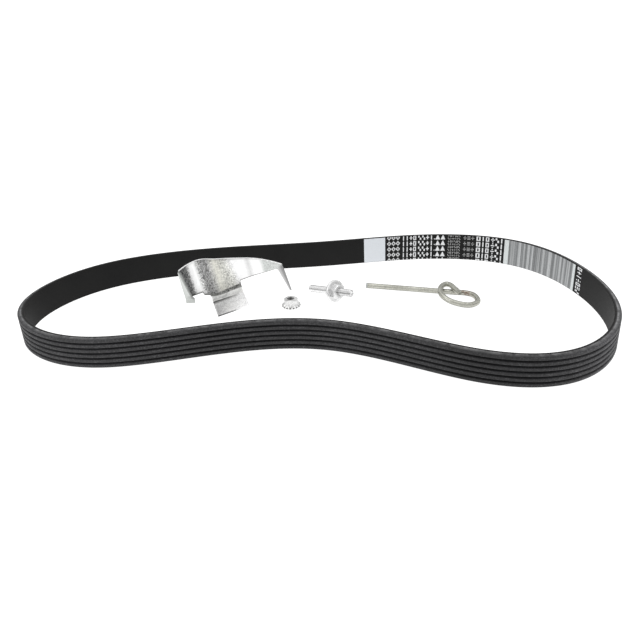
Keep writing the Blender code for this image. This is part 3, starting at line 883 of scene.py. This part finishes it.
def make_fitting_tool():
    turn = Euler([math.radians(angle) for angle in TOOL_TILT]).to_matrix()
    corner = Vector((*TOOL_PLACE, SHEET / 2))

    def in_tool_frame(spot):
        return turn.transposed() @ (Vector(spot) - corner)

    tongue = [wall_angle(TONGUE_WIDTH * i / TONGUE_STEPS) for i in range(TONGUE_STEPS + 1)]
    top_wall, low_wall, tongue_start = wall_rows(tongue)
    rows = []
    turns = []
    for side, wall in enumerate((top_wall, low_wall)):
        left_end = (in_tool_frame(LEFT_FOOT[side]), in_tool_frame(LEFT_ANKLE[side]))
        row, row_turns = folded_row(left_end, wall, in_tool_frame(RIGHT_TIP[side]))
        rows.append(row)
        turns.append(row_turns)
    points = []
    values = {"turn": [], "level": [], "across": []}
    size = len(rows[0])
    for i in range(WALL_ROWS + 1):
        u = i / WALL_ROWS
        for top, low, turn_top, turn_low in zip(rows[0], rows[1], turns[0], turns[1]):
            points.append(top.lerp(low, u))
            drawn = (1 - u) * turn_top + u * turn_low
            # The band boundary in the middle of the wall leans as it runs down
            values["turn"].append(drawn - FAN_SHIFT * u * math.exp(-((drawn - 1) / 5) ** 2))
            values["across"].append(u)
    faces = grid_faces(WALL_ROWS + 1, size, close_rows=False, close_columns=False)
    values["level"] = [0.0] * len(points)

    first = WALL_ROWS * size + LEG_STEPS + 1 + FOLD_STEPS + tongue_start - 1
    previous = list(range(first, first + len(tongue)))
    # Painted shade from the crease reaches a little way up the wall above the riser, with no lower edge there
    for above in range(2):
        for i in range(len(tongue)):
            column = first - above * size + i
            values["level"][column] = 0.90 - 0.70 * above
            values["across"][column] = i / TONGUE_STEPS
    columns = [tongue_column(points[index]) for index in previous]
    for row in range(len(columns[0][0])):
        current = list(range(len(points), len(points) + len(columns)))
        for i, (column, levels) in enumerate(columns):
            points.append(column[row])
            values["turn"].append(tongue[i])
            values["level"].append(levels[row])
            values["across"].append(i / TONGUE_STEPS)
        for i in range(len(columns) - 1):
            faces.append((previous[i], previous[i + 1], current[i + 1], current[i]))
        previous = current

    placed = [corner + turn @ point for point in points]
    piece = add_piece("fitting_tool_sheet", placed, faces, zinc_material(), "fitting_tool",
                      sharp=70.0, values=values)
    piece.data.materials.append(sheared_edge_material())
    solid = piece.modifiers.new("sheet_thickness", "SOLIDIFY")
    solid.thickness = SHEET * MM
    solid.offset = 0.0
    solid.use_even_offset = True
    solid.material_offset_rim = 1
    bevel = piece.modifiers.new("sheared_corners", "BEVEL")
    bevel.width = EDGE_ROUNDING * MM
    bevel.segments = 2
    bevel.limit_method = "ANGLE"
    bevel.angle_limit = math.radians(60)
    drop_to_floor(piece)
    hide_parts("fitting_tool")


# ---- nut and stud

def bright_zinc_material(name, tint, spotting, metallic):
    """Bright zinc on turned steel: a faint soft mottle, with more or less spotting, darkened by painted shade
    in hollows and painted reflection streaks.
    """
    look = Look(name, 0.34, metallic)
    grain = look.noise(900.0, 3.0)
    spots = look.noise(380.0, 3.0)
    dark, spot_tint = (tuple(share * channel for channel in tint) for share in (0.84, 0.70))
    light = tuple(min(0.97, 1.06 * channel) for channel in tint)
    colour = look.ramp(grain, ((0.30, dark), (0.50, tint), (0.70, light)))
    patched = look.mix(look.span(spots, 0.52, 0.66, 0.0, spotting), colour, spot_tint)
    # Painted shade in hollows and painted reflection streaks darken the zinc
    look.feed("Base Color", look.mix(look.read("painted_shade_and_reflection"), patched, (0.035, 0.035, 0.035)))
    look.feed("Roughness", look.span(grain, 0.35, 0.65, 0.40, 0.28))
    look.bump(grain, 0.00002, 0.2)
    return look.material


def turned_surface(rings, steps, radius_at):
    """Points on (height, tag) rings whose radius depends on the angle too."""
    turns = np.linspace(0.0, 2 * math.pi, steps, endpoint=False)
    points = []
    for height, tag in rings:
        for turn in turns:
            radius = radius_at(turn, height, tag)
            points.append((radius * math.cos(turn), radius * math.sin(turn), height))
    return points


def hex_radius(turn, across_flats):
    off_flat = (turn + math.pi / 6) % (math.pi / 3) - math.pi / 6
    return across_flats / 2 / math.cos(off_flat)


def thread_wave(turn, height):
    """0 at a thread's root and 1 at its crest."""
    phase = (height / THREAD_PITCH - turn / (2 * math.pi)) % 1.0
    return min(1.0, max(0.0, 2.2 * abs(phase - 0.5) * 2 - 0.6))


def make_flange_nut():
    steps = FLANGE_TEETH * 12

    def radius(turn, height, tag):
        tooth = 0.5 + 0.5 * math.cos(turn * FLANGE_TEETH)
        scallop = TOOTH_DEPTH * (1 - tooth ** 0.7)
        if tag == "foot":
            return FLANGE_RADIUS - 0.25 - scallop * 0.8
        if tag == "rim":
            return FLANGE_RADIUS - scallop
        if tag == "cone":
            slope = (height - CONE_LOW) / CONE_RISE
            corner = hex_radius(turn, NUT_ACROSS_FLATS)
            return (FLANGE_RADIUS - 0.5 - scallop * 0.6) * (1 - slope) + (corner + 0.15) * slope
        if tag == "hex":
            chamfer = NUT_ACROSS_FLATS / 2 + (NUT_HEIGHT - height) * 1.3 - 0.40
            return min(hex_radius(turn, NUT_ACROSS_FLATS), chamfer, NUT_CORNER)
        if tag == "mouth":
            return THREAD_RADIUS - 0.35
        return THREAD_RADIUS - THREAD_DEPTH + THREAD_DEPTH * (1 - thread_wave(turn, height))

    rings = [(0.0, "foot"), (0.25, "rim"), (0.9, "rim"), (1.25, "rim")]
    rings += [(CONE_LOW, "cone"), (2.0, "cone"), (CONE_LOW + CONE_RISE, "cone")]
    rings += [(height, "hex") for height in (2.8, 3.6, 4.4, 4.9, 5.3, 5.6, 5.85, 6.0)]
    rings += [(6.0, "mouth")]
    rings += [(height, "thread") for height in np.arange(5.6, 0.3, -0.2)]
    rings += [(0.0, "mouth")]
    points = turned_surface(rings, steps, radius)
    faces = grid_faces(len(rings), steps, close_rows=True, close_columns=True)
    painted_shade_and_reflection = []
    for height, tag in rings:
        # Painted shade in the thread and between the flange's teeth
        depth = THREAD_SHADE if tag == "thread" else 0.0
        for step in range(steps):
            tooth = 0.5 + 0.5 * math.cos(2 * math.pi * step / steps * FLANGE_TEETH)
            notch = NOTCH_SHADE * (1 - tooth) ** 1.5 if tag in ("foot", "rim") else 0.0
            painted_shade_and_reflection.append(max(depth, notch))
    shift = np.array([NUT_PLACE[0], NUT_PLACE[1], 0.0])
    zinc = bright_zinc_material("nut_bright_zinc", (0.76, 0.76, 0.755), 0.70, 0.9)
    piece = add_piece("flange_nut_serrated", np.array(points) + shift, faces, zinc, "flange_nut",
                      sharp=TURNED_SHARP, values={"painted_shade_and_reflection": painted_shade_and_reflection})
    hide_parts("flange_nut")


def make_collar_stud():
    half = COLLAR_THICKNESS / 2
    hex_top = half + HEX_HEIGHT
    far_tip = -half - LONG_END
    near_tip = half + SHORT_END
    steps = 96

    def radius(turn, height, tag):
        if tag == "axis":
            return 0.001
        if tag == "threaded":
            chamfer = SHANK_RADIUS - TIP_CHAMFER + near_tip - height
            return min(SHANK_RADIUS - THREAD_DEPTH * 0.5 * (1 - thread_wave(turn, height)), chamfer)
        if tag == "hex":
            chamfer = HEX_ACROSS_FLATS / 2 + (hex_top - height) * 1.7 - 0.15
            return min(hex_radius(turn, HEX_ACROSS_FLATS), chamfer)
        return tag

    tip_radius = SHANK_RADIUS - TIP_CHAMFER
    rings = [(far_tip, "axis"), (far_tip, tip_radius), (far_tip + TIP_CHAMFER, SHANK_RADIUS)]
    rings += [(height, SHANK_RADIUS) for height in np.linspace(far_tip + 1.6, -half - 3.2, 6)]
    rings += [(-half - 2.6, NECK_RADIUS), (-half - 0.2, NECK_RADIUS), (-half, SHANK_RADIUS)]
    rings += [(-half, COLLAR_RADIUS - 0.35), (-half + 0.12, COLLAR_RADIUS - 0.1)]
    rings += [(-half + 0.35, COLLAR_RADIUS), (half - 0.75, COLLAR_RADIUS)]
    rings += [(half - 0.3, COLLAR_RADIUS - 0.2), (half, COLLAR_RADIUS - 0.6)]
    rings += [(half + 0.02, 5.95), (half + 0.1, "hex")]
    rings += [(height, "hex") for height in np.linspace(half + 0.6, hex_top, 9)]
    rings += [(hex_top, SHANK_RADIUS), (hex_top + 0.5, NECK_RADIUS), (hex_top + 1.0, NECK_RADIUS)]
    rings += [(height, "threaded") for height in np.arange(hex_top + 1.3, near_tip - 0.05, 0.17)]
    rings += [(near_tip, tip_radius), (near_tip, DIMPLE_RADIUS), (near_tip - DIMPLE_DEPTH, "axis")]
    points = turned_surface(rings, steps, radius)
    faces = grid_faces(len(rings), steps, close_rows=False, close_columns=True)
    painted_shade_and_reflection = []
    # Painted shade sits in the dimple, the two necks, the corners at the collar and the thread's roots
    recess_shade = {near_tip - DIMPLE_DEPTH: 0.35, -half - 0.2: 0.55, -half: 0.55, half + 0.02: 0.18,
             hex_top: 0.30, hex_top + 0.5: 0.55}
    for height, tag in rings:
        for step in range(steps):
            shade_amount = recess_shade.get(height, 0.0) if tag not in (COLLAR_RADIUS - 0.35, "hex") else 0.0
            if tag == "threaded":
                shade_amount = 0.45 * (1 - thread_wave(2 * math.pi * step / steps, height))
            painted_shade_and_reflection.append(shade_amount)

    # It lies on its collar's rim and on the shoulder of its long end's chamfer
    rise = math.atan2(COLLAR_RADIUS - SHANK_RADIUS, LONG_END - TIP_CHAMFER)
    yaw = math.radians(STUD_YAW)
    along = Vector((math.cos(yaw) * math.cos(rise), math.sin(yaw) * math.cos(rise), math.sin(rise)))
    turn = along.to_track_quat("Z", "Y").to_matrix()
    placed = [turn @ Vector(point) for point in points]
    # Painted reflection streaks along the round ends: one below the middle of the front, two at its edges
    front = (Vector(CAMERA_PLACE) - Vector((*STUD_PLACE, 0.0))).normalized()
    upward = (front - along * front.dot(along)).cross(along).normalized()
    upward *= math.copysign(1.0, upward.z)
    for i, point in enumerate(placed):
        tag = rings[i // steps][1]
        if tag in ("threaded", SHANK_RADIUS, NECK_RADIUS):
            offset = (point - along * point.dot(along)).normalized().dot(upward)
            reflection_streak = (0.60 * math.exp(-((offset + 0.25) / REFLECTION_STREAK_WIDTH) ** 2)
                      + 0.42 * math.exp(-((abs(offset) - 0.97) / REFLECTION_STREAK_WIDTH) ** 2))
            painted_shade_and_reflection[i] = max(painted_shade_and_reflection[i], reflection_streak)
    lowest = min(point.z for point in placed)
    shift = Vector((STUD_PLACE[0], STUD_PLACE[1], -lowest))
    zinc = bright_zinc_material("stud_bright_zinc", (0.86, 0.86, 0.86), 0.18, 0.85)
    piece = add_piece("collar_stud_turned", [point + shift for point in placed], faces, zinc, "collar_stud",
                      sharp=TURNED_SHARP, values={"painted_shade_and_reflection": painted_shade_and_reflection})
    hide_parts("collar_stud")


# ---- lock pin

def smooth_path(points, steps):
    """Extra points on a Catmull-Rom curve through the given ones."""
    corners = [Vector(point) for point in points]
    corners = [2 * corners[0] - corners[1], *corners, 2 * corners[-1] - corners[-2]]
    path = []
    for i in range(1, len(corners) - 2):
        before, here, after, beyond = corners[i - 1:i + 3]
        for step in range(steps):
            u = step / steps
            path.append(0.5 * (
                2 * here + (after - before) * u
                + (2 * before - 5 * here + 4 * after - beyond) * u ** 2
                + (3 * here - before - 3 * after + beyond) * u ** 3
            ))
    path.append(corners[-2])
    return path


def wire_material():
    """Drawn wire with dull zinc: fine lines along it, and a rusty bruise on one bend."""
    look = Look("pin_dull_zinc", 0.36, 1.0)
    vector = look.add("ShaderNodeCombineXYZ", X=look.read("along"), Y=look.read("around")).outputs[0]
    lines = look.noise(1.0, 4.0, (0.06, 7.0, 1.0), vector)
    grain = look.noise(900.0, 5.0)
    base = look.ramp(lines, (
        (0.32, (0.27, 0.27, 0.235)), (0.48, (0.49, 0.49, 0.435)), (0.66, (0.68, 0.68, 0.61)),
    ))
    spotted = look.mix(0.5, base, look.times(base, look.ramp(grain, ((0.34, 0.65), (0.60, 1.12)))))
    cool = look.mix(look.read("cut"), spotted, (0.40, 0.43, 0.47))
    # The bruise breaks up into specks
    broken = look.span(look.noise(520.0, 5.0), 0.40, 0.56, 0.15, 1.0)
    heat = look.calculate("MULTIPLY", look.read("bend"), broken)
    warm = look.mix(heat, cool, (0.22, 0.155, 0.12))
    look.feed("Base Color", look.mix(look.read("under"), warm, (0.10, 0.10, 0.09)))
    look.feed("Roughness", look.span(grain, 0.35, 0.65, 0.44, 0.30))
    look.bump(grain, 0.00003, 0.3)
    return look.material


def make_lock_pin():
    path = smooth_path(PIN_POINTS, PATH_STEPS)
    last = len(path) - 1
    tangents = [(path[min(i + 1, last)] - path[max(i - 1, 0)]).normalized() for i in range(len(path))]
    travelled = [0.0]
    for before, here in zip(path, path[1:]):
        travelled.append(travelled[-1] + (here - before).length)
    side = tangents[0].cross(Vector((0, 0, 1))).normalized()
    centres = []
    # Both ends are cropped square, with a small rounded rim
    rims = ((0.001, 0.0), (WIRE_RADIUS - 0.35, 0.0), (WIRE_RADIUS - 0.1, 0.1))
    for radius, setback in rims:
        centres.append((path[0] + tangents[0] * setback, tangents[0], radius, travelled[0] + setback))
    for point, tangent, distance in zip(path, tangents, travelled):
        if 0.3 < distance < travelled[-1] - 0.3:
            centres.append((point, tangent, WIRE_RADIUS, distance))
    for radius, setback in reversed(rims):
        centres.append((path[-1] - tangents[-1] * setback, tangents[-1], radius, travelled[-1] - setback))

    points = []
    values = {"along": [], "around": [], "bend": [], "cut": [], "under": []}
    for point, tangent, radius, distance in centres:
        side = (side - tangent * side.dot(tangent)).normalized()
        up = side.cross(tangent)
        warm = math.exp(-(((distance - BRUISE_PLACE) / BRUISE_REACH) ** 2))
        cut = 0.8 if distance < 0.12 else 0.0
        for i in range(WIRE_SIDES):
            turn = 2 * math.pi * i / WIRE_SIDES
            points.append(point + side * math.cos(turn) * radius + up * math.sin(turn) * radius)
            values["along"].append(distance)
            values["around"].append(abs(turn - math.pi))
            values["bend"].append(warm)
            values["cut"].append(cut)
            # The table's glow is painted out below, and a little at the top
            height = math.sin(turn)
            values["under"].append(UNDER_SHADE * max(0.0, -height) + TOP_SHADE * max(0.0, height) ** 4)
    faces = grid_faces(len(centres), WIRE_SIDES, close_rows=False, close_columns=True)
    piece = add_piece("lock_pin_wire", points, faces, wire_material(), "lock_pin", sharp=40.0,
                      values=values)
    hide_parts("lock_pin")


# ---- studio

def make_floor():
    """A pale light table: it glows a little, so that contact shadows stay soft."""
    look = Look("light_table", 0.60, 0.0, specular=0.1)
    clouds = look.noise(3.0, 2.0)
    colour = look.ramp(clouds, ((0.3, 0.245), (0.7, 0.255)))
    look.feed("Base Color", colour)
    look.feed("Emission Color", (1.0, 1.0, 1.0, 1.0))
    look.feed("Emission Strength", 1.0)
    mesh = bpy.data.meshes.new("light_table")
    corners = [(x * TABLE_REACH, y * TABLE_REACH, TABLE_TOP) for x, y in ((-1, -1), (1, -1), (1, 1), (-1, 1))]
    mesh.from_pydata(corners, [], [(0, 1, 2, 3)])
    mesh.materials.append(look.material)
    add_object("light_table", mesh)


def make_world():
    """Even pale surroundings, brightest a little way up the sky, dimmer at the horizon and dimmest overhead.
    """
    world = bpy.data.worlds.new("studio")
    world.use_nodes = True
    look = Nodes(world.node_tree)
    direction = look.add("ShaderNodeTexCoord").outputs["Generated"]
    height = look.add("ShaderNodeSeparateXYZ", Vector=direction).outputs["Z"]
    sky = look.ramp(look.span(height, 0.0, 1.0, 0.0, 1.0),
                    ((0.0, 0.80), (0.22, 0.90), (0.55, 0.95), (0.80, 0.78), (1.0, 0.72)))
    background = world.node_tree.nodes["Background"]
    look.put(sky, background.inputs["Color"])
    look.put(1.0, background.inputs["Strength"])
    bpy.context.scene.world = world


def add_softbox(name, place, size, power):
    light = bpy.data.lights.new(name, "AREA")
    light.shape = "RECTANGLE"
    light.size, light.size_y = size
    light.energy = power
    lamp = add_object(name, light)
    lamp.location = place
    lamp.rotation_euler = (-Vector(place)).to_track_quat("-Z", "Y").to_euler()


def make_camera():
    camera = bpy.data.cameras.new("camera")
    camera.sensor_width = 36.0
    camera.lens = CAMERA_LENS
    camera.clip_start = 0.01
    holder = add_object("camera", camera)
    place = Vector(CAMERA_PLACE) * MM
    facing = (Vector(CAMERA_TARGET) * MM - place).to_track_quat("-Z", "Y").to_matrix()
    roll = Matrix.Rotation(-CAMERA_ROLL, 3, "Z")
    holder.matrix_world = Matrix.Translation(place) @ (facing @ roll).to_4x4()
    bpy.context.scene.camera = holder


def main():
    make_camera()
    make_world()
    make_floor()
    add_softbox("overhead_softbox", (0.0, 0.1, 1.2), (1.4, 0.9), 4.0)
    add_softbox("left_softbox", (-1.0, -0.5, 0.7), (0.5, 0.9), 2.0)
    make_ribs()
    make_cord_band()
    make_backing()
    make_label_print()
    make_mark_print()
    make_bar_print()
    make_fitting_tool()
    make_flange_nut()
    make_collar_stud()
    make_lock_pin()
    scene = bpy.context.scene
    scene.view_settings.view_transform = "Standard"


main()
